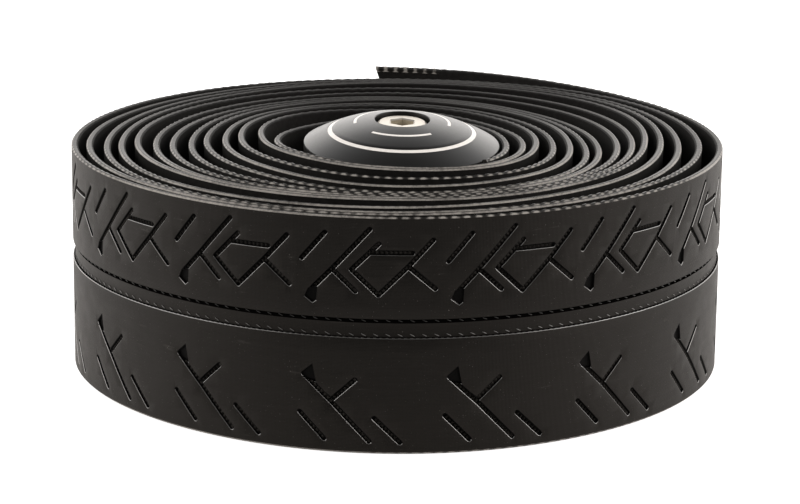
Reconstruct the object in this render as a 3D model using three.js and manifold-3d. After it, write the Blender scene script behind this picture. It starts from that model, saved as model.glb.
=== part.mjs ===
// A roll of handlebar tape standing on its end, with an expanding bar-end plug standing in its core.
// Millimetres, +Z up. The origin is under the middle of the whole object's box, on the table.

import * as THREE from "three";
import { mergeVertices } from "three/addons/utils/BufferGeometryUtils.js";
import Module from "manifold-3d";

const wasm = await Module();
wasm.setup();

// Tape
const tapeWidth = 30;
const tapeThickness = 0.9;
const contactAir = 0.06; // air left where two turns lie against each other
const facetsPerTurn = 45; // every turn has its corners at the same angles, so thin gaps stay open
const innerEndAngle = 316; // degrees round the roll axis, anticlockwise from +X
const outerEndAngle = 94.5;
const endCutSlant = 10; // how much shorter the outer end is at the bottom edge than at the top

// Groove down the middle of the tape's outer face
const channelWidth = 2.5;
const channelDepth = 0.35;
const channelHeight = 15.95; // middle of the channel above the bottom edge

// Pressed tread on the tape's outer face
const treadPitch = 18; // from one figure of the tread to the next
const treadTurns = 1.08; // the turns inside this hide theirs, so it is left out there
const grooveWidth = 0.7;
const grooveDepth = 0.42;
const cutterClearance = 0.2; // how far a cutter stands above the face that it cuts
const chord = 1; // length of face whose two ends give the face's direction

// Bar-end plug, measured down its own axis from the plane of the cap's rim
const capRadius = 13.1;
const domeRadius = 25.6;
const capBand = 1;
const capChamfer = 0.5;
const ringRadius = 9.65; // ring line turned into the dome
const ringWidth = 0.75;
const ringDepth = 0.12;
const bossRadius = 5.5;
const bossLength = 5;
const capDrop = 0.6; // how far the rim's plane lies under the tape's upper edge
const plugLength = tapeWidth - capDrop; // down to the cone nut's foot, which stands on the table
const fit = 0.3; // clearance between pieces of the plug that touch

// Socket-head screw
const headRadius = 3.4;
const headHeight = 4;
const headChamfer = 0.3;
const headSink = 0.4; // how far the head lies under the edge of its counterbore
const socketAcross = 3;
const socketDepth = 2.2;
const screwRadius = 2;
const screwLength = 25;

// Expanding sleeve and the cone nut that spreads it
const sleeveRadius = 8.5;
const sleeveWall = 2.4;
const sleeveLength = 21;
const slotCount = 4;
const slotWidth = 1.6;
const slotLength = 15;
const coneTopRadius = 4.4;
const coneRadius = 7.4;
const coneLength = 10;
const footRadius = 8.2;

// Where the plug stands in the core: the middle of its rim from the roll axis, and its lean in degrees
const plugOffset = new THREE.Vector2(0.7, -1.4);
const leanForward = 3.8;
const leanRight = 1;

// Air between the cap's rim and the innermost turn, at SE, E, NE, N, NW, W, SW and S
const coreAir = [1.2, 0.3, 1.6, 2.5, 2.5, 3.1, 0.4, 0.9];

// Air between each turn and the one inside it, from the core outwards, at the same eight points.
// 0 is a turn that lies against the last one. The tape's outer end springs clear at N and NW.
const turnAir = [
  [0.7, 1.3, 0.9, 3.9, 5.8, 0.9, 0.2, 0.1],
  [0.2, 0.9, 2.7, 2.4, 1.3, 2, 3.2, 3.8],
  [2.8, 1.2, 0.5, 0, 0.2, 1.2, 2.5, 3.6],
  [1.8, 1.3, 1.8, 1.8, 1.1, 1.5, 1.9, 2.3],
  [2.1, 0.9, 0, 0, 0.3, 0.9, 2, 0],
  [0.2, 0.8, 0, 0, 0.4, 1.5, 1.2, 0],
  [0, 1.8, 3.3, 2.3, 1.3, 1.3, 0.8, 0],
  [0, 1.1, 2.5, 2.4, 2.5, 1.7, 0, 0],
  [0, 0.7, 3.3, 2.9, 1.2, 1, 3, 3.2],
  [1.9, 1.2, 0.7, 0, 0.5, 0.9, 1.1, 1.6],
  [2.2, 1.4, 0, 0, 0.6, 1.5, 0, 0],
  [0.2, 1.8, 1, 0, 1.4, 1.1, 0.5, 0.8],
  [1.4, 1.8, 1.2, 8, 11, 11, 11, 11],
];

// Spiral: angles run on from the core outwards, so the outermost turn ends at lastAngle
const knotStep = 45;
const firstKnot = 315;
const firstAngle = innerEndAngle;
const lastAngle = outerEndAngle + 360 * (turnAir.length + 1);
const frontAngle = 270 + 360 * turnAir.length; // the wall that faces -Y

const radians = THREE.MathUtils.degToRad;

function direction(angle) {
  return new THREE.Vector2(Math.cos(radians(angle)), Math.sin(radians(angle)));
}

// Centre radii at the eight points of every turn, each built on the turn inside it
function knotRadii() {
  const knots = coreAir.map((air, i) => {
    const capReach = capRadius + plugOffset.dot(direction(firstKnot + knotStep * i));
    return capReach + air + tapeThickness / 2;
  });
  for (const row of turnAir) {
    for (const air of row) {
      knots.push(knots[knots.length - 8] + tapeThickness + contactAir + air);
    }
  }
  return knots;
}

const knots = knotRadii();

// Smooth centre radius at an angle, a Catmull-Rom curve through the knots
function freeRadius(angle) {
  const place = (angle - firstKnot) / knotStep;
  const i = Math.floor(place);
  const t = place - i;
  const [a, b, c, d] = [i - 1, i, i + 1, i + 2].map((k) => knots[Math.min(Math.max(k, 0), knots.length - 1)]);
  const square = 2 * a - 5 * b + 4 * c - d;
  const cube = 3 * b - a - 3 * c + d;
  return 0.5 * (2 * b + (c - a) * t + square * t ** 2 + cube * t ** 3);
}

// Centre radius as wound: no turn comes closer to the one inside it than tape that touches
function centreRadius(angle) {
  if (angle - 360 < firstAngle) return freeRadius(angle);
  return Math.max(freeRadius(angle), centreRadius(angle - 360) + tapeThickness + contactAir);
}

// Corners of the spiral, from the core outwards
function cornerAngles() {
  const step = 360 / facetsPerTurn;
  const angles = [firstAngle];
  for (let k = Math.floor(firstAngle / step) + 1; k * step < lastAngle; k++) angles.push(k * step);
  return [...angles, lastAngle];
}

// Solids in and out of the boolean library
function toSolid(geometry) {
  const bare = new THREE.BufferGeometry().setAttribute("position", geometry.getAttribute("position"));
  if (geometry.index) bare.setIndex(geometry.index);
  const merged = mergeVertices(bare, 1e-4);
  return new wasm.Manifold(
    new wasm.Mesh({
      numProp: 3,
      vertProperties: new Float32Array(merged.attributes.position.array),
      triVerts: new Uint32Array(merged.index.array),
    }),
  );
}

function toGeometry(solid) {
  const mesh = solid.getMesh();
  return new THREE.BufferGeometry()
    .setAttribute("position", new THREE.BufferAttribute(mesh.vertProperties, 3))
    .setIndex(new THREE.BufferAttribute(mesh.triVerts, 1));
}

// A length of the spiral in plan, between two offsets from its centre line, raised to a height
function spiralBand(from, to, innerOffset, outerOffset, bottom, height) {
  const run = cornerAngles().filter((angle) => angle >= from && angle <= to);
  const line = (offset) => run.map((angle) => direction(angle).multiplyScalar(centreRadius(angle) + offset));
  const outline = new THREE.Shape([...line(outerOffset), ...line(innerOffset).reverse()]);
  const band = new THREE.ExtrudeGeometry(outline, { depth: height, bevelEnabled: false });
  return band.translate(0, 0, bottom);
}

// Radius of the tape's outer face, and the length of one degree of it
function faceRadius(angle) {
  return centreRadius(angle) + tapeThickness / 2;
}

function degreeLength(angle) {
  return radians(1) * faceRadius(angle);
}

// Length along the outer face from the front wall to an angle, and back from a length to its angle.
// Outwards along the spiral is positive.
function lengthAtAngle(angle) {
  const way = Math.sign(angle - frontAngle);
  const span = Math.abs(angle - frontAngle);
  let length = 0;
  for (let done = 0; done < span; done++) {
    length += way * Math.min(1, span - done) * degreeLength(frontAngle + way * done);
  }
  return length;
}

function angleAtLength(length) {
  const way = Math.sign(length);
  let angle = frontAngle;
  let left = Math.abs(length);
  while (left > 0) {
    const here = degreeLength(angle);
    angle += way * Math.min(1, left / here);
    left -= here;
  }
  return angle;
}

// A point on the outer face, a height above the bottom edge
function wallPoint(length, height) {
  const angle = angleAtLength(length);
  const reach = direction(angle).multiplyScalar(faceRadius(angle));
  return new THREE.Vector3(reach.x, reach.y, height);
}

// Places a cutter drawn in the face: x along the tape, y up, z straight out of the face
function faceMatrix(length, height) {
  const along = wallPoint(length + chord / 2, 0).sub(wallPoint(length - chord / 2, 0)).normalize();
  const up = new THREE.Vector3(0, 0, 1);
  const out = new THREE.Vector3().crossVectors(along, up);
  return new THREE.Matrix4().makeBasis(along, up, out).setPosition(wallPoint(length, height));
}

// A V-shaped groove between two points of the face
function grooveCutter([x1, y1], [x2, y2], figure) {
  const start = wallPoint(figure + x1, y1);
  const end = wallPoint(figure + x2, y2);
  const run = end.clone().sub(start);
  const depth = run.length();
  run.normalize();
  const out = new THREE.Vector3().setFromMatrixColumn(faceMatrix(figure + (x1 + x2) / 2, 0), 2);
  const side = new THREE.Vector3().crossVectors(out, run).normalize();
  const halfWidth = (grooveWidth / 2) * (1 + cutterClearance / grooveDepth);
  const section = new THREE.Shape([
    new THREE.Vector2(0, -grooveDepth),
    new THREE.Vector2(halfWidth, cutterClearance),
    new THREE.Vector2(-halfWidth, cutterClearance),
  ]);
  const wedge = new THREE.ExtrudeGeometry(section, { depth, bevelEnabled: false });
  return wedge.applyMatrix4(
    new THREE.Matrix4().makeBasis(side, new THREE.Vector3().crossVectors(run, side), run).setPosition(start),
  );
}

// A flat-bottomed pocket with a drawn outline
function pocketCutter(outline, figure) {
  const middle = outline.reduce((sum, [x]) => sum + x, 0) / outline.length;
  const shape = new THREE.Shape(outline.map(([x, y]) => new THREE.Vector2(x - middle, y)));
  const depth = grooveDepth + cutterClearance;
  const pocket = new THREE.ExtrudeGeometry(shape, { depth, bevelEnabled: false });
  return pocket.translate(0, 0, -grooveDepth).applyMatrix4(faceMatrix(figure + middle, 0));
}

// One figure of the tread: x along the tape from the figure's own mark, y above the bottom edge.
// Over the channel: a slash, a fork with a broad foot, and a lozenge with three tails.
const upperGrooves = [
  [[-8, 27.8], [-10.9, 24.4]],
  [[-2.5, 28.4], [-9.5, 20.8]],
  [[-7.3, 23.5], [-4.2, 20.6]],
  [[-4.8, 23.2], [-1.4, 26.6]],
  [[-4.9, 23.5], [-1.2, 20]],
  [[-2.4, 25.5], [2.7, 25.5]],
  [[-1.6, 20], [5.2, 27.1]],
  [[2, 24], [5.5, 21]],
];
const upperFoot = [[-10.1, 20.7], [-8.9, 21.1], [-9, 19.2], [-9.5, 18.8], [-10.6, 19.6]];

// Under the channel: a broad head on a long slope with one branch, and two short slots.
const lowerGrooves = [
  [[-10.6, 9.8], [-2.4, 1.6]],
  [[-7.1, 6.5], [-4.2, 9.4]],
  [[-11.1, 4.9], [-8, 1.7]],
  [[-1.8, 4.6], [1.4, 1.5]],
];
const lowerHead = [[-9.5, 11.2], [-10.8, 10.1], [-10.7, 9.3], [-9, 8.8]];

function treadCutters() {
  const firstFigure = Math.ceil(lengthAtAngle(lastAngle - 360 * treadTurns) / treadPitch);
  const lastFigure = Math.ceil(lengthAtAngle(lastAngle) / treadPitch);
  const cutters = [];
  for (let k = firstFigure; k <= lastFigure; k++) {
    const figure = k * treadPitch;
    const inside = (points) => points.every(([x]) => angleAtLength(figure + x) < lastAngle);
    const grooves = [...upperGrooves, ...lowerGrooves].filter(inside);
    const pockets = [upperFoot, lowerHead].filter(inside);
    cutters.push(...grooves.map(([start, end]) => grooveCutter(start, end, figure)));
    cutters.push(...pockets.map((outline) => pocketCutter(outline, figure)));
  }
  return cutters;
}

// The slanting cut across the tape's outer end
function endCutter() {
  const overrun = 4;
  const thickness = 6;
  const shape = new THREE.Shape([
    new THREE.Vector2(-endCutSlant * (1 + overrun / tapeWidth), -overrun),
    new THREE.Vector2(overrun, -overrun),
    new THREE.Vector2(overrun, tapeWidth + overrun),
    new THREE.Vector2((endCutSlant * overrun) / tapeWidth, tapeWidth + overrun),
  ]);
  const wedge = new THREE.ExtrudeGeometry(shape, { depth: thickness, bevelEnabled: false });
  return wedge.translate(0, 0, -thickness / 2).applyMatrix4(faceMatrix(lengthAtAngle(lastAngle), 0));
}

function tapeRoll() {
  const half = tapeThickness / 2;
  const roll = toSolid(spiralBand(firstAngle, lastAngle, -half, half, 0, tapeWidth));
  const channelBottom = channelHeight - channelWidth / 2;
  const channel = toSolid(
    spiralBand(
      lastAngle - 360 * treadTurns,
      lastAngle,
      half - channelDepth,
      half + cutterClearance,
      channelBottom,
      channelWidth,
    ),
  );
  const cutters = [channel, toSolid(endCutter()), ...treadCutters().map(toSolid)];
  return toGeometry(roll.subtract(wasm.Manifold.union(cutters)));
}

// Turned pieces: a closed outline of [radius, height] points round the plug's axis, anticlockwise
const turnedFacets = 40;

function turned(outline) {
  const points = [...outline, outline[0]].map(([r, z]) => new THREE.Vector2(r, z));
  return new THREE.LatheGeometry(points, turnedFacets).rotateX(Math.PI / 2);
}

function domeHeight(radius) {
  return Math.sqrt(domeRadius ** 2 - radius ** 2) - Math.sqrt(domeRadius ** 2 - capRadius ** 2);
}

const counterboreRadius = headRadius + fit;
const headTop = domeHeight(counterboreRadius) - headSink;
const seat = headTop - headHeight - fit;
const underCap = -capBand - capChamfer;

function plugCap() {
  const ringInner = ringRadius - ringWidth / 2;
  const ringOuter = ringRadius + ringWidth / 2;
  const dome = (from, to, steps) => {
    const radii = Array.from({ length: steps + 1 }, (_, i) => from + ((to - from) * i) / steps);
    return radii.map((r) => [r, domeHeight(r)]);
  };
  return turned([
    [screwRadius + fit, underCap - bossLength],
    [bossRadius, underCap - bossLength],
    [bossRadius, underCap],
    [capRadius - capChamfer, underCap],
    [capRadius, -capBand],
    ...dome(capRadius, ringOuter, 3),
    [ringOuter, domeHeight(ringOuter) - ringDepth],
    [ringInner, domeHeight(ringInner) - ringDepth],
    ...dome(ringInner, counterboreRadius, 4),
    [counterboreRadius, seat],
    [screwRadius + fit, seat],
  ]);
}

function plugScrew() {
  const underHead = headTop - headHeight;
  const outline = [
    [0, headTop],
    [headRadius - headChamfer, headTop],
    [headRadius, headTop - headChamfer],
    [headRadius, underHead],
    [screwRadius, underHead],
    [screwRadius, underHead - screwLength + headChamfer],
    [screwRadius - headChamfer, underHead - screwLength],
    [0, underHead - screwLength],
  ].reverse();
  const points = outline.map(([r, z]) => new THREE.Vector2(r, z));
  const body = toSolid(new THREE.LatheGeometry(points, turnedFacets).rotateX(Math.PI / 2));
  const corner = socketAcross / 2 / Math.cos(Math.PI / 6);
  const hexagon = new THREE.CylinderGeometry(corner, corner, 2 * socketDepth, 6).rotateX(Math.PI / 2);
  return toGeometry(body.subtract(toSolid(hexagon.translate(0, 0, headTop))));
}

const sleeveTop = underCap - fit;
const coneBase = sleeveTop - sleeveLength - fit; // the cone nut's foot lies just under the sleeve

// The slope on the cone nut, which the sleeve's mouth repeats one clearance further out
function coneRadiusAt(height) {
  return coneTopRadius + ((coneRadius - coneTopRadius) * (coneBase + coneLength - height)) / coneLength;
}

function plugSleeve() {
  const sleeveBottom = sleeveTop - sleeveLength;
  const mouthTop = coneBase + coneLength;
  const bore = sleeveRadius - sleeveWall;
  const meet = coneBase + (coneLength * (coneRadius + fit - bore)) / (coneRadius - coneTopRadius);
  const tube = turned([
    [bore, sleeveTop],
    [bore, Math.min(meet, mouthTop)],
    [coneRadiusAt(sleeveBottom) + fit, sleeveBottom],
    [sleeveRadius, sleeveBottom],
    [sleeveRadius, sleeveTop],
  ]);
  const slots = Array.from({ length: slotCount }, (_, i) => {
    const slot = new THREE.BoxGeometry(sleeveRadius, slotWidth, 2 * slotLength);
    return slot.translate(sleeveRadius, 0, sleeveBottom).rotateZ(radians(45 + (360 / slotCount) * i));
  });
  return toGeometry(toSolid(tube).subtract(wasm.Manifold.union(slots.map(toSolid))));
}

function plugConeNut() {
  return turned([
    [screwRadius + fit, -plugLength],
    [footRadius - capChamfer, -plugLength],
    [footRadius, -plugLength + capChamfer],
    [footRadius, coneBase],
    [coneRadius, coneBase],
    [coneTopRadius, coneBase + coneLength],
    [screwRadius + fit, coneBase + coneLength],
  ]);
}

// Materials
const finishes = {
  tape: { color: 0x1c1a17, roughness: 0.55, metalness: 0 },
  anodised: { color: 0x17171a, roughness: 0.35, metalness: 0.6 },
  steel: { color: 0xb9b4a8, roughness: 0.3, metalness: 1 },
  nylon: { color: 0x1a1a1a, roughness: 0.6, metalness: 0 },
  nut: { color: 0x8d8f92, roughness: 0.4, metalness: 1 },
};

function part(name, geometry, finish) {
  const mesh = new THREE.Mesh(geometry, new THREE.MeshStandardMaterial(finishes[finish]));
  mesh.name = name;
  return mesh;
}

// The plug stands on the edge of its cone nut and leans in the core
function standingPlug() {
  const plug = new THREE.Group();
  plug.add(part("plug_cap", plugCap(), "anodised"));
  plug.add(part("plug_screw", plugScrew(), "steel"));
  plug.add(part("plug_sleeve", plugSleeve(), "nylon"));
  plug.add(part("plug_cone_nut", plugConeNut(), "nut"));
  plug.rotation.set(radians(leanForward), radians(leanRight), 0);
  plug.updateMatrixWorld(true);
  const lowest = new THREE.Box3().setFromObject(plug, true).min.z;
  plug.position.set(plugOffset.x, plugOffset.y, -lowest);
  return plug;
}

const object = new THREE.Group();
object.add(part("tape_roll", tapeRoll(), "tape"));
object.add(standingPlug());
object.updateMatrixWorld(true);
const extent = new THREE.Box3().setFromObject(object, true);
const middle = extent.getCenter(new THREE.Vector3());
object.position.set(-middle.x, -middle.y, 0);

export default object;
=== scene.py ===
import math
import random

import bmesh
import bpy
import numpy as np
from mathutils import Matrix, Vector
from mathutils.geometry import delaunay_2d_cdt

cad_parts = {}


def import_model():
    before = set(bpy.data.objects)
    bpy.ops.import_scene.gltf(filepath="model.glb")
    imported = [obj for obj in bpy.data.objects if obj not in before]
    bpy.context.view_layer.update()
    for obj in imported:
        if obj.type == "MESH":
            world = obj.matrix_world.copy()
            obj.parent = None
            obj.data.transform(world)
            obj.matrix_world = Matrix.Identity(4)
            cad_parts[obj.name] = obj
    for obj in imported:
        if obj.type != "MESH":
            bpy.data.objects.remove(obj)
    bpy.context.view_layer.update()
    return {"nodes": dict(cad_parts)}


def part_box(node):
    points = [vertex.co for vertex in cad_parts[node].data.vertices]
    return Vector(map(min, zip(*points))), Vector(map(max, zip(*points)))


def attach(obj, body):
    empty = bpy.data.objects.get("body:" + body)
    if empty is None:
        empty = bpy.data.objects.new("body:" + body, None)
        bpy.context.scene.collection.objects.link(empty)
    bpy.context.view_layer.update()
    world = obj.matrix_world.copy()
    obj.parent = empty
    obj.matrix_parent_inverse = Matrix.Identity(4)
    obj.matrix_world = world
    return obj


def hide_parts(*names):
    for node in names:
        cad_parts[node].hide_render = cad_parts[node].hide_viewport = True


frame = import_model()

# Lengths are in millimetres until a mesh is made, and the roll's axis is the origin in plan.
MM = 0.001

# Where the roll's axis is, from the middle of the plug's cap
cap_low, cap_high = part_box("plug_cap")
PLUG_FROM_AXIS = (0.69, -1.365)
AXIS = np.array([(cap_low[i] + cap_high[i]) / 2 / MM - PLUG_FROM_AXIS[i] for i in range(2)] + [0.0])

# Camera, from the roll's axis at the table
CAMERA_AT = (5.45, -387.8, 115.35)
CAMERA_DOWN = 14.588
CAMERA_RIGHT = 0.713
CAMERA_ROLL = 0.621
LENS = 133.1
SENSOR = 36.0

# Tape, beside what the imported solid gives. Corners of the solid are found by angle in degrees,
# and two of them within SAME_RADIUS are one. The curve through them runs on for OVERRUN degrees.
CORNER_STEP = 8.0
CORNER_REACH = 0.4
SAME_RADIUS = 0.03
FINE_ANGLE = 0.25
OVERRUN = 12
INNER_END = 316.0
OUTER_END = 94.5
STATION = 0.75
FIRST_STEP = 0.2
EDGE_BEVEL = 0.26
END_SLANT = 10.0

# Loose end: the length that its slanting cut works on, and the length whose ribs are lighter
# and reach over the inner rounding
CUT_LENGTH = 14.0
CUT_REACH = 26.0
FLAP_RIBS = 10

# Crown of the upper cut edge, outer and inner point: distance from the tape's centre line and
# depth under the top. CROWN_TOP is how far out its highest point lies.
CROWN_OUT = (0.33, 0.07)
CROWN_TOP = 0.16
CROWN_IN = (0.25, 0.1)

# Ribs across the cut edge: one every few stations, on some stretches of the tape. Between two
# ribs the crown dips and is narrower, and the inner side is down to RIB_DOWN. RIBBED gives the
# stretches that surely have ribs, back from the outer end. Chance gives the others: one draw
# every RIB_DRAW millimetres.
RIB_STATIONS = 2
RIB_DIP = 0.11
RIB_TOP_DIP = 0.8
RIB_NARROW = 0.05
RIB_DOWN = 0.45
RIB_DRAW = 22.0
RIB_LEAST = 0.08
RIB_FADE = 4.0
RIBBED = ((0, 13), (240, 330))

# Tread. The bars across a groove's floor start BAR_INSET inside its rim, and there are none in
# a pocket, from POCKET_RIM inside its rim.
PITCH = 18.0
FIGURE_START = -11.7
FIRST_FIGURE = -8
LAST_FIGURE = 8
TREAD_FADE = 4.0
GROOVE_HALF = 0.35
CHANNEL = (14.7, 17.2)
BAR_STEP = 0.56
BAR_RISE = 0.24
BAR_INSET = 0.12
BAR_RAMP = 0.1
POCKET_RIM = 0.05

# Mesh of the plain face: rows on each side of the channel, the step along the top of
# a groove's wall, and the room left round a groove
FACE_ROWS = 8
WALL_STEP = 2.0
GROOVE_ROOM = 0.25

# Thread along the edges of the channel: height over its lower edge, slope in degrees,
# half length and half width of a bead, and beads in one figure
STITCH_ROWS = ((0.03, -5, 0.34, 0.07, 24), (0.42, -26, 0.36, 0.05, 12), (2.24, -22, 0.34, 0.07, 12))
STITCH_SINK = 0.08
STITCH_SINK_SHARE = 0.6

# Depth of the relief by distance inside a groove's rim: pairs of distance and depth
GROOVE_WALL = ((0.0, 0.0), (0.03, 0.015), (0.065, 0.06), (0.11, 0.28), (0.2, 0.36))
GROOVE_FLOOR = 0.11
CHANNEL_WALL = ((0.0, 0.0), (0.03, 0.015), (0.065, 0.06), (0.14, 0.3), (0.6, 0.35))

STROKES = (
    ((-8.0, 27.8), (-10.9, 24.4)),
    ((-2.5, 28.4), (-7.0, 23.4)),
    ((-7.0, 23.4), (-9.5, 20.8)),
    ((-7.0, 23.2), (-4.2, 20.6)),
    ((-4.7, 23.3), (-1.4, 26.6)),
    ((-4.7, 23.3), (-1.4, 20.2)),
    ((-2.4, 25.5), (2.7, 25.5)),
    ((-1.4, 20.2), (2.2, 23.8)),
    ((2.2, 23.8), (5.2, 27.1)),
    ((2.2, 23.8), (5.5, 21.0)),
    ((-10.6, 9.8), (-6.9, 6.3)),
    ((-6.9, 6.3), (-2.4, 1.6)),
    ((-6.9, 6.9), (-4.2, 9.4)),
    ((-11.1, 4.9), (-8.0, 1.7)),
    ((-1.8, 4.6), (1.4, 1.5)),
)
FOOT = ((-10.1, 20.7), (-8.9, 21.1), (-9.0, 19.2), (-9.5, 18.8), (-10.6, 19.6))
HEAD = ((-9.5, 11.2), (-10.8, 10.1), (-10.7, 9.3), (-9.0, 8.8))


def camera():
    """The photograph's viewpoint."""
    down, right, roll = (math.radians(v) for v in (CAMERA_DOWN, -CAMERA_RIGHT, CAMERA_ROLL))
    ahead = Vector((math.sin(right) * math.cos(down), math.cos(right) * math.cos(down), -math.sin(down)))
    side = Vector((math.cos(right), -math.sin(right), 0))
    up = side.cross(ahead)
    turned_side = side * math.cos(roll) + up * math.sin(roll)
    turned_up = up * math.cos(roll) - side * math.sin(roll)
    data = bpy.data.cameras.new("photo_camera")
    data.lens = LENS
    data.sensor_width = SENSOR
    data.clip_start = 0.01
    data.clip_end = 20
    obj = bpy.data.objects.new("photo_camera", data)
    place = Matrix((turned_side, turned_up, -ahead)).transposed().to_4x4()
    place.translation = Vector(MM * (AXIS + CAMERA_AT))
    obj.matrix_world = place
    bpy.context.scene.collection.objects.link(obj)
    bpy.context.scene.camera = obj


def new_object(name, vertices, faces, materials):
    """A mesh object from millimetres about the roll's axis."""
    mesh = bpy.data.meshes.new(name)
    mesh.from_pydata([tuple(v) for v in (np.asarray(vertices) + AXIS) * MM], [], faces)
    for material in materials:
        mesh.materials.append(material)
    mesh.validate()
    obj = bpy.data.objects.new(name, mesh)
    bpy.context.scene.collection.objects.link(obj)
    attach(obj, "root")
    return obj


# Winding of the tape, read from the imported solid

def cut_edge_points():
    """Polar angle and radius of the corners along the tape's upper cut edge."""
    mesh = frame["nodes"]["tape_roll"].data
    points = np.array([v.co for v in mesh.vertices]) / MM - AXIS
    edge = points[points[:, 2] > points[:, 2].max() - 0.01]
    return np.degrees(np.arctan2(edge[:, 1], edge[:, 0])) % 360, np.hypot(edge[:, 0], edge[:, 1])


def radii_at(angles, radii, angle):
    """Sorted inner and outer radii of every turn that has a corner at an angle."""
    off = np.abs((angles - angle + 180) % 360 - 180)
    found = np.sort(radii[off < CORNER_REACH])
    kept = [found[0]]
    for radius in found[1:]:
        if radius - kept[-1] > SAME_RADIUS:
            kept.append(radius)
    return kept


def read_winding():
    """Unwrapped angle and inner and outer radius of each corner, from the core outwards."""
    angles, radii = cut_edge_points()
    corners = []
    for k in range(round(360 / CORNER_STEP)):
        polar = k * CORNER_STEP
        found = radii_at(angles, radii, polar)
        first = polar if polar >= INNER_END else polar + 360
        pairs = zip(found[0::2], found[1::2])
        corners += [(first + 360 * turn, inner, outer) for turn, (inner, outer) in enumerate(pairs)]
    start = radii_at(angles, radii, INNER_END)
    corners.append((INNER_END, start[0], start[1]))
    corners.sort()
    end = radii_at(angles, radii, OUTER_END)
    last = math.floor(corners[-1][0] / 360) * 360 + OUTER_END
    corners.append((last, end[-2], end[-1]))
    return np.array(corners)


winding = read_winding()
TAPE_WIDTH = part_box("tape_roll")[1].z / MM
THICKNESS = float(np.median(winding[:, 2] - winding[:, 1]))
HALF = THICKNESS / 2
LAST_ANGLE = winding[-1, 0]
FRONT_ANGLE = LAST_ANGLE - (LAST_ANGLE - 270) % 360


def smooth_radius():
    """Centre radius as a cubic curve through the corners, on a fine scale of angles."""
    angle = winding[:, 0]
    radius = (winding[:, 1] + winding[:, 2]) / 2
    slope = np.gradient(radius, angle)
    fine = np.arange(angle[0], angle[-1] + OVERRUN, FINE_ANGLE)
    i = np.clip(np.searchsorted(angle, fine, side="right") - 1, 0, len(angle) - 2)
    step = angle[i + 1] - angle[i]
    t = np.clip((fine - angle[i]) / step, 0, 1)
    cubic = (
        (2 * t**3 - 3 * t**2 + 1) * radius[i]
        + (t**3 - 2 * t**2 + t) * step * slope[i]
        + (3 * t**2 - 2 * t**3) * radius[i + 1]
        + (t**3 - t**2) * step * slope[i + 1]
    )
    return fine, cubic + slope[-1] * np.clip(fine - angle[-1], 0, None)


fine_angle, fine_radius = smooth_radius()
arc = np.radians(np.diff(fine_angle)) * (fine_radius[1:] + fine_radius[:-1] + THICKNESS) / 2
fine_length = np.concatenate([[0.0], np.cumsum(arc)])
fine_length -= np.interp(FRONT_ANGLE, fine_angle, fine_length)
END_LENGTH = float(np.interp(LAST_ANGLE, fine_angle, fine_length))


def on_tape(length, offset, height):
    """Points at a length along the outer face, an offset out from the tape's centre line and a height."""
    angle = np.radians(np.interp(length, fine_length, fine_angle))
    radius = np.interp(length, fine_length, fine_radius) + offset
    level = np.broadcast_to(height, radius.shape)
    return np.stack([radius * np.cos(angle), radius * np.sin(angle), level], 1)


# Slots of the tape's materials. The rim slot holds a painted highlight, and the groove's dark slot
# and the channel's SHADE slot hold painted shade.
FACE, EDGE, BACK, RIM_GLINT, GROOVE_SHADE, SHADE = range(6)


# Relief of the outer face

def to_stroke(points, start, end):
    """Distance from points to a line between two others, and how far along it they lie."""
    start, end = np.array(start), np.array(end)
    run = end - start
    t = np.clip(((points - start) @ run) / (run @ run), 0, 1)
    return np.linalg.norm(points - start - t[:, None] * run, axis=1), t * np.linalg.norm(run)


def to_outline(points, outline):
    """Signed distance from points to a closed outline, negative inside."""
    corners = list(zip(outline, outline[1:] + outline[:1]))
    distance = np.min([to_stroke(points, a, b)[0] for a, b in corners], axis=0)
    inside = np.zeros(len(points), bool)
    for (x1, y1), (x2, y2) in corners:
        crosses = (y1 > points[:, 1]) != (y2 > points[:, 1])
        with np.errstate(divide="ignore", invalid="ignore"):
            inside ^= crosses & (points[:, 0] < (x2 - x1) * (points[:, 1] - y1) / (y2 - y1) + x1)
    return np.where(inside, -distance, distance)


def relief(points):
    """Depth of the tread and the channel at points of one figure, and how far inside their rims they lie.

    The last value is the place in the row of bars across a groove's floor: 1 on a bar, 0 between two.
    """
    found = [to_stroke(points, a, b) for a, b in STROKES]
    distance = np.array([d for d, _ in found])
    nearest = distance.argmin(axis=0)
    along = np.array([a for _, a in found])[nearest, np.arange(len(points))]
    bar = 0.5 - 0.5 * np.cos(2 * math.pi * along / BAR_STEP)
    in_stroke = GROOVE_HALF - distance.min(axis=0)
    in_pocket = -np.min([to_outline(points, outline) for outline in (FOOT, HEAD)], axis=0)
    in_groove = np.maximum(in_stroke, in_pocket)
    groove = np.interp(in_groove, *zip(*GROOVE_WALL))
    groove -= BAR_RISE * bar * np.clip((in_stroke - BAR_INSET) / BAR_RAMP, 0, 1) * (in_pocket < POCKET_RIM)
    in_channel = np.minimum(points[:, 1] - CHANNEL[0], CHANNEL[1] - points[:, 1])
    channel = np.interp(in_channel, *zip(*CHANNEL_WALL))
    bar = np.where(in_pocket > 0, 0, bar)
    return np.maximum(groove, channel), in_groove, in_channel, bar


def stroke_ring(start, end, half, step):
    """Outline of a round-ended stroke, with points about a step apart along its sides."""
    heading = math.atan2(end[1] - start[1], end[0] - start[0])
    run = math.dist(start, end)
    pieces = max(1, round(run / step))
    ring = []
    for centre, other, turn in ((end, start, -math.pi / 2), (start, end, math.pi / 2)):
        for i in range(7):
            angle = heading + turn + math.pi * i / 6
            ring.append((centre[0] + half * math.cos(angle), centre[1] + half * math.sin(angle)))
        last = ring[-1]
        for i in range(1, pieces):
            share = i / pieces
            ring.append(tuple(last[k] + (other[k] - centre[k]) * share for k in range(2)))
    return ring


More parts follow.
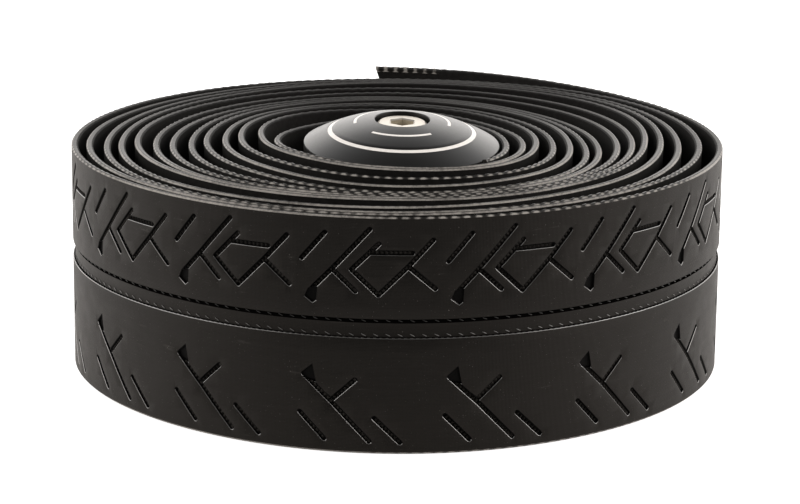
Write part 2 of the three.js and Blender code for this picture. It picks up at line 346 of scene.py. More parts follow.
def shrunk(outline, inset):
    """An outline moved in by the same distance all round."""
    count = len(outline)
    area = sum(outline[i - 1][0] * outline[i][1] - outline[i][0] * outline[i - 1][1] for i in range(count))
    side = 1 if area > 0 else -1
    moved = []
    for i in range(count):
        before, here, after = (Vector(outline[(i + k) % count]) for k in (-1, 0, 1))
        first = (here - before).normalized()
        second = (after - here).normalized()
        mitre = Vector((-first.y - second.y, first.x + second.x)).normalized() * side
        moved.append(tuple(here + mitre * inset / max(0.4, mitre.dot(Vector((-first.y, first.x)) * side))))
    return moved


def figure_mesh():
    """Points of one figure of the face, as (length, height), and its triangles.

    Its two sides match those of the next figure.
    """
    low, high = EDGE_BEVEL, TAPE_WIDTH - EDGE_BEVEL
    points, edges = [], []

    def add_line(line, closed):
        start = len(points)
        points.extend(line)
        count = len(line)
        edges.extend((start + i, start + (i + 1) % count) for i in range(count if closed else count - 1))

    columns = [FIGURE_START + STATION * i for i in range(round(PITCH / STATION) + 1)]
    channel_rows = [CHANNEL[0] + d for d, _ in CHANNEL_WALL] + [CHANNEL[1] - d for d, _ in CHANNEL_WALL]
    plain_rows = list(np.linspace(low, CHANNEL[0], FACE_ROWS)[:-1])
    plain_rows += list(np.linspace(CHANNEL[1], high, FACE_ROWS)[1:])
    add_line([(x, low) for x in columns], False)
    add_line([(x, high) for x in columns], False)
    for row in channel_rows:
        add_line([(x, row) for x in columns], False)
    sides = sorted(channel_rows + plain_rows)
    for x in (columns[0], columns[-1]):
        add_line([(x, row) for row in sides], False)
    for distance, _ in GROOVE_WALL:
        step = BAR_STEP / 2 if distance >= GROOVE_FLOOR else WALL_STEP
        for start, end in STROKES:
            add_line(stroke_ring(start, end, GROOVE_HALF - distance, step), True)
        for outline in (FOOT, HEAD):
            add_line(shrunk(outline, distance), True)
    for start, end in STROKES:
        pieces = round(math.dist(start, end) / (BAR_STEP / 2))
        for i in range(1, pieces):
            points.append(tuple(start[k] + (end[k] - start[k]) * i / pieces for k in range(2)))
    grid = np.array([(x, row) for x in columns[2:-1:2] for row in plain_rows[1:-1]])
    clear = relief(grid)[1] < -GROOVE_ROOM
    points.extend(map(tuple, grid[clear]))
    made = delaunay_2d_cdt([Vector(p) for p in points], edges, [], 0, 1e-5)
    return np.array([tuple(v) for v in made[0]]), [tuple(f) for f in made[2]]


def rib_strength(length):
    """How strongly the cut edge is ribbed along the tape, from 0 to 1."""
    chance = random.Random(11)
    margin = 40
    spots = np.arange(fine_length[0] - margin, fine_length[-1] + margin, RIB_DRAW)
    values = np.array([chance.random() for _ in spots])
    strength = np.clip((np.interp(length, spots, values) - 0.5) * 3 + 0.5, RIB_LEAST, 1)
    for near, far in RIBBED:
        inside = np.minimum(length - (END_LENGTH - far), END_LENGTH - near - length)
        strength = np.maximum(strength, np.clip(inside / RIB_FADE + 0.5, 0, 1))
    return strength


def tile_slots(flat, triangles):
    """Material slot of each triangle of a figure.

    It is face, a rim with a painted highlight, or painted shade in a groove or in the channel. A rim
    gets the painted highlight where the relief deepens upwards, so where its wall looks up.
    """
    corners = np.array(triangles)
    _, in_groove, in_channel, _ = relief(flat)
    middle = flat[corners].mean(axis=1)
    groove = in_groove[corners].mean(axis=1)
    channel = in_channel[corners].mean(axis=1)
    _, here, here_channel, bar = relief(middle)
    _, above, above_channel, _ = relief(middle + (0, 0.02))
    inside = 0.003
    rim = GROOVE_WALL[2][0]
    groove_rim_painted_light = (groove > inside) & (groove < rim)
    channel_rim = (channel > inside) & (channel < rim)
    upper = middle[:, 1] > (CHANNEL[0] + CHANNEL[1]) / 2
    slots = np.zeros(len(corners), int)
    # Painted shade on the groove rims, and a painted highlight on those whose wall looks up, as on the
    # channel's lower lip.
    slots[groove_rim_painted_light] = GROOVE_SHADE
    slots[groove_rim_painted_light & (above > here + 0.005)] = RIM_GLINT
    slots[channel_rim & (above_channel > here_channel)] = RIM_GLINT
    # Painted shade under the channel's upper edge and on its lower wall.
    slots[(channel > inside) & (channel < CHANNEL_WALL[-1][0] - 0.01) & upper] = SHADE
    slots[(channel > rim) & (channel < CHANNEL_WALL[-2][0]) & ~upper] = SHADE
    # Painted shade on the groove walls and between the bars of a groove's floor.
    slots[(groove > rim) & ((groove < GROOVE_FLOOR) | (bar < 0.25))] = GROOVE_SHADE
    return slots


def tape_roll(materials):
    """The wound tape as one closed skin.

    It is a section swept along the winding, with ribbed cut edges, and pressed figures on the last turn.
    """
    grid_start = FIGURE_START + PITCH * FIRST_FIGURE
    first = math.ceil((fine_length[0] + FIRST_STEP - grid_start) / STATION)
    last = round(PITCH * (LAST_FIGURE + 1 - FIRST_FIGURE) / STATION)
    length = np.concatenate([[fine_length[0]], grid_start + STATION * np.arange(first, last + 1)])
    pressed_from = 1 - first
    top, edge = TAPE_WIDTH, EDGE_BEVEL
    strong = rib_strength(length)
    chance = random.Random(7)
    uneven = np.array([chance.uniform(0.6, 1.0) for _ in length])
    low_spot = (np.arange(len(length)) - 1 + first) % RIB_STATIONS != 0
    dip = np.where(low_spot, RIB_DIP * strong * uneven, 0.0)
    narrow = np.where(low_spot, RIB_NARROW * strong, 0.0)
    section = [
        on_tape(length, HALF, edge),
        on_tape(length, HALF, top - edge),
        on_tape(length, CROWN_OUT[0] - narrow, top - dip - CROWN_OUT[1]),
        on_tape(length, CROWN_TOP, top - dip * RIB_TOP_DIP),
        on_tape(length, narrow - CROWN_IN[0], top - dip - CROWN_IN[1]),
        on_tape(length, narrow - HALF, top - edge - dip),
        on_tape(length, -HALF, top - RIB_DOWN - edge),
        on_tape(length, -HALF, edge),
        on_tape(length, -HALF + edge, 0),
        on_tape(length, HALF - edge, 0),
    ]
    count = len(section)
    section_slots = [BACK, EDGE, EDGE, EDGE, BACK, BACK, BACK, EDGE, EDGE, EDGE]
    vertices = np.stack(section, 1).reshape(-1, 3)
    uv = np.zeros((len(vertices), 2))
    uv[:, 0] = np.repeat(length, count)
    inner = top + THICKNESS
    uv[:, 1] = np.tile([edge, top - edge, top, top + HALF, inner, inner, top, edge, 0, 0], len(length))
    ribbed = np.repeat(strong, count)
    faces, slots = [tuple(range(count))], [FACE]
    for i in range(len(length) - 1):
        here, ahead = i * count, (i + 1) * count
        for j in range(count):
            if j == 0 and i >= pressed_from:
                continue
            k = (j + 1) % count
            faces.append((here + j, ahead + j, ahead + k, here + k))
            on_flap = j in (4, 5) and length[i] > END_LENGTH - FLAP_RIBS
            slots.append(EDGE if on_flap else section_slots[j])
    faces.append(tuple(reversed(range((len(length) - 1) * count, len(length) * count))))
    slots.append(EDGE)

    flat, triangles = figure_mesh()
    depth = relief(flat)[0]
    figure_slots = tile_slots(flat, triangles)
    for figure in range(FIRST_FIGURE, LAST_FIGURE + 1):
        along = flat[:, 0] + PITCH * figure
        fade = np.clip((along - grid_start) / TREAD_FADE, 0, 1)
        start = len(vertices)
        vertices = np.concatenate([vertices, on_tape(along, HALF - depth * fade, flat[:, 1])])
        uv = np.concatenate([uv, np.stack([along, flat[:, 1]], 1)])
        ribbed = np.concatenate([ribbed, np.zeros(len(flat))])
        faces.extend(tuple(start + v for v in triangle) for triangle in triangles)
        slots.extend(figure_slots)

    obj = new_object("tape", vertices, faces, materials)
    mesh = obj.data
    mesh.polygons.foreach_set("material_index", slots)
    corner = np.zeros(len(mesh.loops), int)
    mesh.loops.foreach_get("vertex_index", corner)
    mesh.uv_layers.new(name="tape_length").data.foreach_set("uv", uv[corner].ravel())
    shares = np.stack([ribbed, np.zeros(len(ribbed))], 1)
    mesh.uv_layers.new(name="ribbed").data.foreach_set("uv", shares[corner].ravel())
    mesh.uv_layers.active = mesh.uv_layers["tape_length"]
    close_tape(mesh)
    mesh.polygons.foreach_set("use_smooth", [True] * len(mesh.polygons))
    mesh.set_sharp_from_angle(angle=math.radians(32))
    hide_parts("tape_roll")


def close_tape(mesh):
    """Joins the pressed face to the turns, and cuts the slanting outer end."""
    bm = bmesh.new()
    bm.from_mesh(mesh)
    bmesh.ops.remove_doubles(bm, verts=bm.verts, dist=2e-6)
    end = on_tape(np.array([END_LENGTH]), 0, TAPE_WIDTH)[0]
    before, after = on_tape(END_LENGTH + np.array([-0.3, 0.3]), HALF, 0)
    along = (after - before) / np.linalg.norm(after - before)
    normal = along * TAPE_WIDTH - np.array([0, 0, END_SLANT])
    near = on_tape(np.array([END_LENGTH - 1]), 0, 0)[0]
    centre = Vector((near + AXIS) * MM)
    flap = [f for f in bm.faces if (f.calc_center_median().xy - centre.xy).length < CUT_REACH * MM]
    layer = bm.loops.layers.uv.active
    flap = [f for f in flap if min(loop[layer].uv.x for loop in f.loops) > END_LENGTH - CUT_LENGTH]
    flap_edges = {e for f in flap for e in f.edges}
    flap_verts = {v for f in flap for v in f.verts}
    cut = bmesh.ops.bisect_plane(
        bm,
        geom=list(flap_verts) + list(flap_edges) + flap,
        dist=1e-7,
        plane_co=Vector((end + AXIS) * MM),
        plane_no=Vector(normal).normalized(),
        clear_outer=True,
    )
    rim = [g for g in cut["geom_cut"] if isinstance(g, bmesh.types.BMEdge)]
    bmesh.ops.triangle_fill(bm, edges=rim, use_beauty=True)
    open_edges = [e for e in bm.edges if len(e.link_faces) == 1]
    if open_edges:
        bmesh.ops.holes_fill(bm, edges=open_edges, sides=0)
    bmesh.ops.recalc_face_normals(bm, faces=bm.faces)
    bm.to_mesh(mesh)
    bm.free()


def stitching(materials):
    """Thread along both edges of the channel, as short slanting beads, the row under the upper edge in a
    darker copy as painted shade.
    """
    rings, sides = 4, 6
    start = FIGURE_START + PITCH * FIRST_FIGURE + TREAD_FADE
    end = END_LENGTH - END_SLANT * (1 - CHANNEL[0] / TAPE_WIDTH) - 1
    vertices, faces, tones = [], [], []
    for up, slope, half_length, half_width, count in STITCH_ROWS:
        row_start = len(faces)
        # Painted shade: the row under the channel's upper edge gets the darker thread.
        in_painted_shade = int(up > (CHANNEL[1] - CHANNEL[0]) / 2)
        slant = math.radians(slope)
        step = PITCH / count
        for spot in np.arange(start, end, step):
            first = len(vertices)
            local = [(-half_length, 0.0, 0.0)]
            for i in range(1, rings):
                turn = math.pi * i / rings
                for k in range(sides):
                    side = 2 * math.pi * k / sides
                    girth = math.sin(turn) ** 0.6
                    local.append((
                        -half_length * math.cos(turn),
                        half_width * girth * math.cos(side),
                        half_width * girth * math.sin(side),
                    ))
            local.append((half_length, 0.0, 0.0))
            p, q, w = np.array(local).T
            along = spot + p * math.cos(slant) - q * math.sin(slant)
            height = CHANNEL[0] + up + p * math.sin(slant) + q * math.cos(slant)
            depth = np.interp(np.minimum(height - CHANNEL[0], CHANNEL[1] - height), *zip(*CHANNEL_WALL))
            sunk = STITCH_SINK + depth.mean() * STITCH_SINK_SHARE
            vertices.extend(on_tape(along, HALF - sunk + w, height))
            tip = first + len(local) - 1
            for k in range(sides):
                m = (k + 1) % sides
                faces.append((first, first + 1 + m, first + 1 + k))
                faces.append((tip, tip - sides + k, tip - sides + m))
                for i in range(rings - 2):
                    low = first + 1 + i * sides
                    faces.append((low + k, low + m, low + sides + m, low + sides + k))
        tones += [in_painted_shade] * (len(faces) - row_start)
    obj = new_object("stitching", vertices, faces, materials)
    obj.data.polygons.foreach_set("material_index", tones)
    obj.data.polygons.foreach_set("use_smooth", [True] * len(faces))


# Plug

CAP_RADIUS = 13.1
DOME_RADIUS = 25.6
COUNTERBORE = 3.7
HEAD_SINK = 0.4
HEAD_RADIUS = 3.4
HEAD_HEIGHT = 4.0
SOCKET = 3.0
SOCKET_DEPTH = 2.2
SHANK_LENGTH = 25
PLAIN_SHANK = 6
THREAD_PITCH = 0.7
THREAD_CREST = 2.0
THREAD_ROOT = 1.66
RING = (9.275, 10.025)
RING_SLOPE = 0.1
RING_DEPTH = 0.06
ARC_BAND = (6.1, 6.5)
ARC_CENTRES = (30, 150, 270)
ARC_HALF = 38
CAP_BAND = 1.0
CAP_CHAMFER = 0.5
SCREW_HOLE = 2.3
BOSS = (5.5, 5.0)
LEAN_FORWARD = 3.8
LEAN_RIGHT = 1.0
PLUG_LENGTH = 29.4
FOOT_RADIUS = 8.2
FOOT_CHAMFER = 0.5
PLUG_AT = (0.7, -1.4)


def dome(radius):
    """Height of the cap's dome over the plane of its rim."""
    return math.sqrt(DOME_RADIUS**2 - radius**2) - math.sqrt(DOME_RADIUS**2 - CAP_RADIUS**2)


def round_point(radius, angle, height):
    """A point at a radius and an angle round an axis, and a height."""
    return Vector((radius * math.cos(angle), radius * math.sin(angle), height))


def plug_place():
    """The plug's own axis and rim plane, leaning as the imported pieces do."""
    forward = Matrix.Rotation(math.radians(LEAN_FORWARD), 4, "X")
    turn = forward @ Matrix.Rotation(math.radians(LEAN_RIGHT), 4, "Y")
    foot = []
    rims = ((FOOT_RADIUS, -PLUG_LENGTH + FOOT_CHAMFER), (FOOT_RADIUS - FOOT_CHAMFER, -PLUG_LENGTH))
    for radius, height in rims:
        for angle in np.linspace(0, 2 * math.pi, 181):
            foot.append((turn @ round_point(radius, angle, height)).z)
    return Matrix.Translation((PLUG_AT[0], PLUG_AT[1], -min(foot))) @ turn


def round_piece(name, rows, closed, materials, paint, sharp):
    """A piece laced from rows round the plug's axis, each with one (radius, height) for every segment.

    A row at radius 0 becomes one point. A closed piece is laced from its last row to its first.
    """
    place = plug_place()
    segments = len(rows[0])
    vertices, rings = [], []
    for row in rows:
        ring = []
        for i, (radius, height) in enumerate(row[:1] if row[0][0] == 0 else row):
            ring.append(len(vertices))
            vertices.append(tuple(place @ round_point(radius, 2 * math.pi * i / segments, height)))
        rings.append(ring)
    faces, indices = [], []
    for j, (a, b) in enumerate(zip(rings, rings[1:] + rings[:1] if closed else rings[1:])):
        for i in range(segments):
            k = (i + 1) % segments
            corners = [a[i % len(a)], a[k % len(a)], b[k % len(b)], b[i % len(b)]]
            faces.append(tuple(dict.fromkeys(corners)))
            indices.append(paint(j, 360 * (i + 0.5) / segments))
    obj = new_object(name, vertices, faces, materials)
    obj.data.polygons.foreach_set("material_index", indices)
    obj.data.polygons.foreach_set("use_smooth", [True] * len(faces))
    obj.data.set_sharp_from_angle(angle=math.radians(sharp))
    return obj


def plug_cap(black, bright):
    """Domed cap with a ring line and three plain arcs cut through the black finish."""
    under = -CAP_BAND - CAP_CHAMFER
    seat = dome(COUNTERBORE) - HEAD_SINK - HEAD_HEIGHT - 0.3
    line = (RING[0] + RING_SLOPE, RING[1] - RING_SLOPE)
    dome_radii = [12.9, 12.2, 11.3, 10.6, RING[1], line[1], line[0], RING[0], 8.8, 8.0, 7.2]
    dome_radii += [ARC_BAND[1], ARC_BAND[0], 5.3, 4.6, 4.1, COUNTERBORE + 0.12]
    outline = [
        (SCREW_HOLE, under - BOSS[1]),
        (BOSS[0] - 0.3, under - BOSS[1]),
        (BOSS[0], under - BOSS[1] + 0.3),
        (BOSS[0], under),
        (CAP_RADIUS - CAP_CHAMFER, under),
        (CAP_RADIUS, -CAP_BAND),
        (CAP_RADIUS, -0.12),
        (CAP_RADIUS - 0.05, 0.02),
    ]
    first_dome = len(outline)
    for radius in dome_radii:
        sunk = RING_DEPTH if RING[0] < radius < RING[1] else 0
        outline.append((radius, dome(radius) - sunk))
    outline += [(COUNTERBORE, dome(COUNTERBORE) - 0.1), (COUNTERBORE, seat), (SCREW_HOLE, seat)]
    ring_row = first_dome + dome_radii.index(line[1])
    arc_row = first_dome + dome_radii.index(ARC_BAND[1])

    def paint(row, angle):
        near = min(abs((angle - centre + 180) % 360 - 180) for centre in ARC_CENTRES)
        return int(row == ring_row or (row == arc_row and near < ARC_HALF))

    segments = 180
    rows = [[point] * segments for point in outline]
    obj = round_piece("cap", rows, True, [black, bright], paint, sharp=28)
    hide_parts("plug_cap")


def plug_screw(steel, dark):
    """Socket-head screw: chamfered head, hex socket with a cone at the bottom, and a threaded shank."""
    top = dome(COUNTERBORE) - HEAD_SINK
    under = top - HEAD_HEIGHT
    tip = under - SHANK_LENGTH
    thread_start = tip + 0.6
    corner = SOCKET / 2 / math.cos(math.pi / 6)
    segments = 96
    rows = []
    for radius, height in ((0.0, tip), (1.6, tip), (THREAD_CREST, tip + 0.4)):
        rows.append([(radius, height)] * segments)
    half_turns = 2 * round((SHANK_LENGTH - PLAIN_SHANK) / THREAD_PITCH)
    rise = THREAD_PITCH / 2
    for k in range(half_turns + 1):
        radius = THREAD_CREST if k % 2 == 0 else THREAD_ROOT
        rows.append([(radius, thread_start + rise * (k + i / segments)) for i in range(segments)])
    for radius, height in (
        (THREAD_CREST, thread_start + rise * (half_turns + 2)),
        (THREAD_CREST, under),
        (HEAD_RADIUS - 0.1, under),
        (HEAD_RADIUS, under + 0.1),
        (HEAD_RADIUS, top - 0.45),
        (HEAD_RADIUS - 0.12, top - 0.16),
        (HEAD_RADIUS - 0.4, top),
    ):
        rows.append([(radius, height)] * segments)

    def hexagon(scale, height):
        row = []
        for i in range(segments):
            angle = 2 * math.pi * i / segments
            sector = (angle + math.pi / 6) % (math.pi / 3) - math.pi / 6
            row.append((scale * corner * math.cos(math.pi / 6) / math.cos(sector), height))
        return row

    rows += [hexagon(1.1, top), hexagon(1.0, top - 0.16), hexagon(1.0, top - SOCKET_DEPTH)]
    rows.append([(0.0, top - SOCKET_DEPTH - 0.6)] * segments)
    socket_row = len(rows) - 3

    def paint(row, _):
        return int(row >= socket_row)

    obj = round_piece("screw", rows, False, [steel, dark], paint, sharp=25)
    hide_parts("plug_screw")


# Materials

class Nodes:
    """Short names for building a node tree."""

    def __init__(self, name):
        self.material = bpy.data.materials.new(name)
        self.material.use_nodes = True
        self.tree = self.material.node_tree
        self.shader = self.tree.nodes["Principled BSDF"]

    def add(self, kind, **values):
        node = self.tree.nodes.new(kind)
        for key, value in values.items():
            setattr(node, key, value)
        return node

    def link(self, source, target):
        self.tree.links.new(source, target)

    def maths(self, operation, *inputs, clamp=False):
        node = self.add("ShaderNodeMath", operation=operation, use_clamp=clamp)
        for socket, value in zip(node.inputs, inputs):
            if isinstance(value, (int, float)):
                socket.default_value = value
            else:
                self.link(value, socket)
        return node.outputs[0]

    def noise(self, vector, scale, detail=2.0, roughness=0.5):
        node = self.add("ShaderNodeTexNoise")
        node.inputs["Scale"].default_value = scale
        node.inputs["Detail"].default_value = detail
        node.inputs["Roughness"].default_value = roughness
        self.link(vector, node.inputs["Vector"])
        return node.outputs["Fac"]

    def ramp(self, factor, stops):
        node = self.add("ShaderNodeValToRGB")
        elements = node.color_ramp.elements
        while len(elements) < len(stops):
            elements.new(0.5)
        for element, (place, colour) in zip(elements, stops):
            element.position = place
            element.color = (*colour, 1)
        self.link(factor, node.inputs[0])
        return node.outputs[0]

    def bump(self, height, strength, distance, normal=None):
        node = self.add("ShaderNodeBump")
        node.inputs["Strength"].default_value = strength
        node.inputs["Distance"].default_value = distance
        self.link(height, node.inputs["Height"])
        if normal:
            self.link(normal, node.inputs["Normal"])
        return node.outputs[0]


def grey(value):
    """A slightly warm linear grey."""
    return (value, value * 0.93, value * 0.85)


def tape_face_material():
    """Pressed outer face: satin black, a fine diagonal weave, faint streaks along the tape and specks."""
    n = Nodes("tape_face")
    uv = n.add("ShaderNodeUVMap", uv_map="tape_length").outputs[0]
    split = n.add("ShaderNodeSeparateXYZ")
    n.link(uv, split.inputs[0])
    x, y = split.outputs[0], split.outputs[1]
    thread = 2 * math.pi / 0.36
    first = n.maths("SINE", n.maths("MULTIPLY", n.maths("ADD", x, y), thread))
    second = n.maths("SINE", n.maths("MULTIPLY", n.maths("SUBTRACT", x, y), thread))
    weave = n.maths("MULTIPLY", first, second)
    stretch = n.add("ShaderNodeMapping")
    stretch.inputs["Scale"].default_value = (0.12, 1.9, 1)
    n.link(uv, stretch.inputs["Vector"])
    streak = n.noise(stretch.outputs[0], 1.0, 4, 0.6)
    blotch = n.noise(uv, 0.35, 3)
    speck = n.noise(uv, 5.5, 1)
    sparse = n.maths("MULTIPLY_ADD", blotch, -0.12, 0.79)
    specks = n.maths("MULTIPLY", n.maths("SUBTRACT", speck, sparse, clamp=True), 9, clamp=True)
    tone = n.maths("ADD", n.maths("MULTIPLY", streak, 0.6), n.maths("MULTIPLY", blotch, 0.4))
    tone = n.maths("ADD", tone, specks, clamp=True)
    colour = n.ramp(tone, ((0.3, grey(0.002)), (0.62, grey(0.004)), (1.0, grey(0.08))))
    n.link(colour, n.shader.inputs["Base Color"])
    n.link(n.maths("MULTIPLY_ADD", blotch, 0.16, 0.42), n.shader.inputs["Roughness"])
    n.shader.inputs["Specular IOR Level"].default_value = 0.17
    n.shader.inputs["Specular Tint"].default_value = (1.0, 0.92, 0.84, 1)
    relief_height = n.bump(weave, 0.5, 0.02 * MM)
    relief_height = n.bump(streak, 0.6, 0.05 * MM, relief_height)
    relief_height = n.bump(specks, 0.7, 0.06 * MM, relief_height)
    n.link(relief_height, n.shader.inputs["Normal"])
    return n.material


def tape_edge_material():
    """Cut edge: grey open foam, with painted shade in the dips between its ribs, paler on its outer side
    as a painted highlight.
    """
    n = Nodes("tape_edge")
    place = n.add("ShaderNodeTexCoord").outputs["Object"]
    split = n.add("ShaderNodeSeparateXYZ")
    n.link(n.add("ShaderNodeUVMap", uv_map="tape_length").outputs[0], split.inputs[0])
    share = n.add("ShaderNodeSeparateXYZ")
    n.link(n.add("ShaderNodeUVMap", uv_map="ribbed").outputs[0], share.inputs[0])
    pitch = RIB_STATIONS * STATION
    phase = (FIGURE_START + PITCH * FIRST_FIGURE) % pitch
    turn = n.maths("MULTIPLY", n.maths("SUBTRACT", split.outputs[0], phase), 2 * math.pi / pitch)
    crest = n.maths("MULTIPLY_ADD", n.maths("COSINE", turn), 0.5, 0.5)
    grain = n.noise(place, 2600, 3, 0.6)
    patch = n.noise(place, 160, 2)
    # Painted shade in the dips between the ribs, as strong as the tape is ribbed there.
    valley = n.maths("SUBTRACT", 0.85, crest, clamp=True)
    rib_shading = n.maths("MULTIPLY", n.maths("MULTIPLY", valley, share.outputs[0]), 0.5)
    tone = n.maths("ADD", n.maths("MULTIPLY", grain, 0.6), n.maths("MULTIPLY", patch, 0.5))
    # Painted light across the cut edge: paler up to the crown's top, a painted highlight, and darker on
    # the inner side past it, a painted shade.
    inwards = n.maths("SUBTRACT", split.outputs[1], TAPE_WIDTH)
    outer_side = n.maths("SUBTRACT", 1, n.maths("MULTIPLY", inwards, 3.2), clamp=True)
    flap = n.maths("SUBTRACT", split.outputs[0], END_LENGTH - FLAP_RIBS, clamp=True)
    rib_shading = n.maths("SUBTRACT", rib_shading, n.maths("MULTIPLY", n.maths("MULTIPLY", flap, crest), 0.4))
    painted_side_light = n.maths("MULTIPLY_ADD", outer_side, 0.45, -0.16)
    tone = n.maths("ADD", n.maths("SUBTRACT", tone, rib_shading), painted_side_light, clamp=True)
    colour = n.ramp(tone, ((0.0, grey(0.003)), (0.3, grey(0.007)), (0.52, grey(0.016)), (0.9, grey(0.27))))
    n.link(colour, n.shader.inputs["Base Color"])
    n.shader.inputs["Roughness"].default_value = 0.46
    n.shader.inputs["Specular IOR Level"].default_value = 0.3
    n.shader.inputs["Specular Tint"].default_value = (1.0, 0.94, 0.88, 1)
    n.link(n.bump(grain, 0.6, 0.06 * MM), n.shader.inputs["Normal"])
    return n.material


def plain_material(name, tone, roughness, specular, grain_scale=1800, index=1.5):
    """One linear grey or colour with a fine grain."""
    n = Nodes(name)
    place = n.add("ShaderNodeTexCoord").outputs["Object"]
    grain = n.noise(place, grain_scale, 3)
    colour = n.ramp(grain, ((0.3, tuple(v * 0.7 for v in tone)), (0.7, tuple(v * 1.2 for v in tone))))
    n.link(colour, n.shader.inputs["Base Color"])
    n.shader.inputs["Roughness"].default_value = roughness
    n.shader.inputs["Specular IOR Level"].default_value = specular
    n.shader.inputs["IOR"].default_value = index
    n.link(n.bump(grain, 0.4, 0.03 * MM), n.shader.inputs["Normal"])
    return n.material


def anodised_material():
    """Satin black anodised aluminium with a fine grain."""
    n = Nodes("anodised_black")
    place = n.add("ShaderNodeTexCoord").outputs["Object"]
    grain = n.noise(place, 3000, 2)
    cloud = n.noise(place, 90, 2)
    colour = n.ramp(cloud, ((0.3, grey(0.004)), (0.7, grey(0.007))))
    n.link(colour, n.shader.inputs["Base Color"])
    n.link(n.maths("MULTIPLY_ADD", grain, 0.1, 0.3), n.shader.inputs["Roughness"])
    n.shader.inputs["Specular IOR Level"].default_value = 0.6
    n.link(n.bump(grain, 0.15, 0.01 * MM), n.shader.inputs["Normal"])
    return n.material


def metal_material(name, tone, roughness):
    """Plated or bare metal with a light grain."""
    n = Nodes(name)
    place = n.add("ShaderNodeTexCoord").outputs["Object"]
    grain = n.noise(place, 1500, 3)
    dark = tuple(v * 0.86 for v in tone)
    n.link(n.ramp(grain, ((0.3, dark), (0.7, tone))), n.shader.inputs["Base Color"])
    n.shader.inputs["Metallic"].default_value = 1.0
    n.link(n.maths("MULTIPLY_ADD", grain, 0.12, roughness), n.shader.inputs["Roughness"])
    return n.material


def line_material():
    """Pale line where the black finish is cut through."""
    n = Nodes("cut_line")
    place = n.add("ShaderNodeTexCoord").outputs["Object"]
    grain = n.noise(place, 2500, 2)
    colour = n.ramp(grain, ((0.3, (0.74, 0.7, 0.66)), (0.7, (0.82, 0.78, 0.74))))
    n.link(colour, n.shader.inputs["Base Color"])
    n.shader.inputs["Roughness"].default_value = 0.45
    return n.material


def dress_cad_node(name, material):
    """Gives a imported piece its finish."""
    obj = frame["nodes"][name]
    obj.data.materials.clear()
    obj.data.materials.append(material)


# Floor, light and background. The radius of the patch of painted shade under the roll is in metres, and
# its fade is the rate at the rim.

CEILING = 0.08
FILL = 0.7
SHADE_PATCH = 0.036
SHADE_PATCH_FADE = 200
FLOOR_HALF = 3.0
FLOOR_DROP = 0.0001


def floor():
    """A plain white table that keeps the roll's shadow. Under the roll its glow is off, a painted shade.

    For glossy rays it glows warm and weaker towards the viewer, a painted reflection in the wall.
    """
    n = Nodes("floor")
    n.shader.inputs["Base Color"].default_value = (0.6, 0.6, 0.6, 1)
    n.shader.inputs["Roughness"].default_value = 0.9
    n.shader.inputs["Specular IOR Level"].default_value = 0.1
    rays = n.add("ShaderNodeLightPath")
    place = n.add("ShaderNodeTexCoord").outputs["Object"]
    from_axis = n.add("ShaderNodeVectorMath", operation="DISTANCE")
    n.link(place, from_axis.inputs[0])
    from_axis.inputs[1].default_value = tuple(AXIS * MM)
    # Painted shade: the table's glow is off under the roll, fading in at the rim.
    outside = n.maths("SUBTRACT", from_axis.outputs["Value"], SHADE_PATCH)
    open_table = n.maths("MULTIPLY", outside, SHADE_PATCH_FADE, clamp=True)
    split = n.add("ShaderNodeSeparateXYZ")
    n.link(place, split.inputs[0])
    # Painted reflection: for glossy rays the table glows, weaker towards the viewer, and warm.
    painted_reflection = n.maths("MULTIPLY_ADD", split.outputs[1], 12, 1.4, clamp=True)
    painted_reflection = n.maths("MULTIPLY_ADD", painted_reflection, 0.75, 0.12)
    glossy = rays.outputs["Is Glossy Ray"]
    mirrored = n.maths("MULTIPLY", glossy, painted_reflection)
    glow = n.add("ShaderNodeEmission")
    warm = n.add("ShaderNodeCombineColor")
    warm.inputs["Red"].default_value = 1
    n.link(n.maths("MULTIPLY_ADD", glossy, -0.08, 1), warm.inputs["Green"])
    n.link(n.maths("MULTIPLY_ADD", glossy, -0.14, 1), warm.inputs["Blue"])
    n.link(warm.outputs[0], glow.inputs["Color"])
    bright = n.maths("MULTIPLY_ADD", rays.outputs["Is Camera Ray"], 0.8, mirrored)
    n.link(n.maths("MULTIPLY", bright, open_table), glow.inputs["Strength"])
    both = n.add("ShaderNodeAddShader")
    n.link(n.shader.outputs[0], both.inputs[0])
    n.link(glow.outputs[0], both.inputs[1])
    n.link(both.outputs[0], n.tree.nodes["Material Output"].inputs["Surface"])
    corners = [(FLOOR_HALF * x, FLOOR_HALF * y, 0) for x, y in ((-1, -1), (1, -1), (1, 1), (-1, 1))]
    mesh = bpy.data.meshes.new("floor")
    mesh.from_pydata(corners, [], [(0, 1, 2, 3)])
    mesh.materials.append(n.material)
    obj = bpy.data.objects.new("floor", mesh)
    obj.location.z = -FLOOR_DROP
    bpy.context.scene.collection.objects.link(obj)


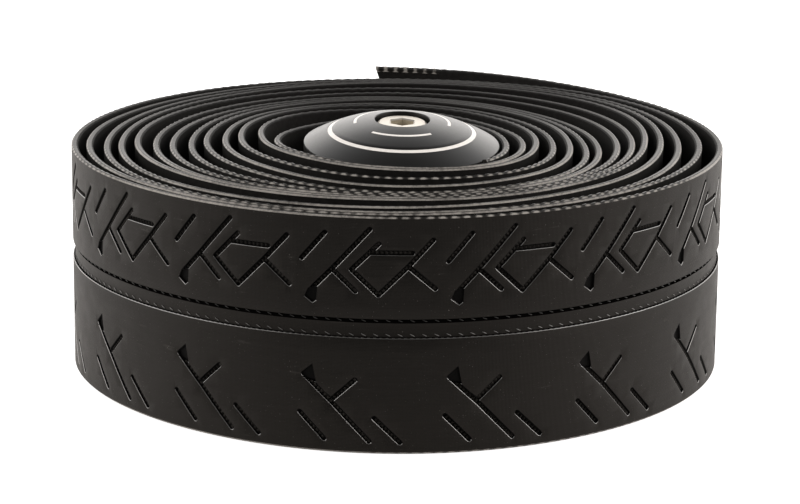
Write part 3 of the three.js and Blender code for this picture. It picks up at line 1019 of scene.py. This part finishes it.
def world():
    """White where it is seen. As light, a white horizon behind and beside the roll, and a dark ceiling."""
    made = bpy.data.worlds.new("studio")
    made.use_nodes = True
    tree = made.node_tree
    back = tree.nodes["Background"]

    def node(kind, **values):
        new = tree.nodes.new(kind)
        for key, value in values.items():
            setattr(new, key, value)
        return new

    def spread(value, low, high, bottom, top):
        step = node("ShaderNodeMapRange", interpolation_type="SMOOTHSTEP")
        for name, number in (("From Min", low), ("From Max", high), ("To Min", bottom), ("To Max", top)):
            step.inputs[name].default_value = number
        tree.links.new(value, step.inputs["Value"])
        return step.outputs[0]

    def joined(operation, first, second):
        step = node("ShaderNodeMath", operation=operation)
        tree.links.new(first, step.inputs[0])
        tree.links.new(second, step.inputs[1])
        return step.outputs[0]

    split = node("ShaderNodeSeparateXYZ")
    tree.links.new(node("ShaderNodeTexCoord").outputs["Generated"], split.inputs[0])
    low = spread(split.outputs[2], 0.5, 1.05, 1.0, 0.0)
    behind = spread(split.outputs[1], -0.6, 0.1, 0.0, 1.0)
    rays = node("ShaderNodeLightPath")
    mirrored = spread(joined("MULTIPLY", low, behind), 0.0, 1.0, CEILING, 1.0)
    fill = spread(rays.outputs["Is Diffuse Ray"], 0.0, 1.0, 0.0, FILL)
    light = joined("MAXIMUM", mirrored, fill)
    seen = joined("MAXIMUM", rays.outputs["Is Camera Ray"], rays.outputs["Is Transmission Ray"])
    tree.links.new(joined("MAXIMUM", seen, light), back.inputs["Strength"])
    back.inputs["Color"].default_value = (1, 1, 1, 1)
    bpy.context.scene.world = made


def soft_box(name, place, size, level):
    """A soft box that faces the roll, as bright as its level. Place and size in metres."""
    data = bpy.data.lights.new(name, "AREA")
    data.shape = "RECTANGLE"
    data.size, data.size_y = size
    data.energy = 4 * size[0] * size[1] * level
    data.color = (1.0, 0.95, 0.9)
    obj = bpy.data.objects.new(name, data)
    obj.location = place
    obj.rotation_euler = (Vector((0, 0, 0.02)) - Vector(place)).to_track_quat("-Z", "Y").to_euler()
    bpy.context.scene.collection.objects.link(obj)


camera()
tape_roll([
    tape_face_material(),
    tape_edge_material(),
    plain_material("tape_back", grey(0.009), 0.7, 0.1),
    # Painted highlight on the rims that look up
    plain_material("groove_rim_painted_light", grey(0.035), 0.35, 1.0, index=2.0),
    # Painted shade in the grooves
    plain_material("groove_painted_shade", grey(0.0015), 0.5, 0.05),
    # Painted shade in the channel
    plain_material("channel_painted_shade", grey(0.0015), 0.8, 0.0),
])
stitching([
    plain_material("thread", grey(0.05), 0.4, 0.9, index=1.8),
    # Painted shade: the darker thread for the row under the upper edge
    plain_material("thread_painted_shade", grey(0.012), 0.5, 0.4),
])
plug_cap(anodised_material(), line_material())
plug_screw(
    metal_material("plated_steel", (0.5, 0.465, 0.41), 0.3),
    plain_material("socket", (0.34, 0.29, 0.21), 0.6, 0.4),
)
dress_cad_node("plug_sleeve", plain_material("nylon", grey(0.015), 0.6, 0.4, 1200))
dress_cad_node("plug_cone_nut", metal_material("turned_nut", (0.52, 0.53, 0.54), 0.35))
floor()
world()
soft_box("back_box", (0.0, 0.85, 0.3), (2.6, 0.6), 1.2)
soft_box("left_box", (-0.75, -0.15, 0.34), (0.9, 0.5), 2.1)
soft_box("right_box", (0.75, -0.15, 0.34), (0.9, 0.5), 2.7)
bpy.context.scene.view_settings.view_transform = "Standard"
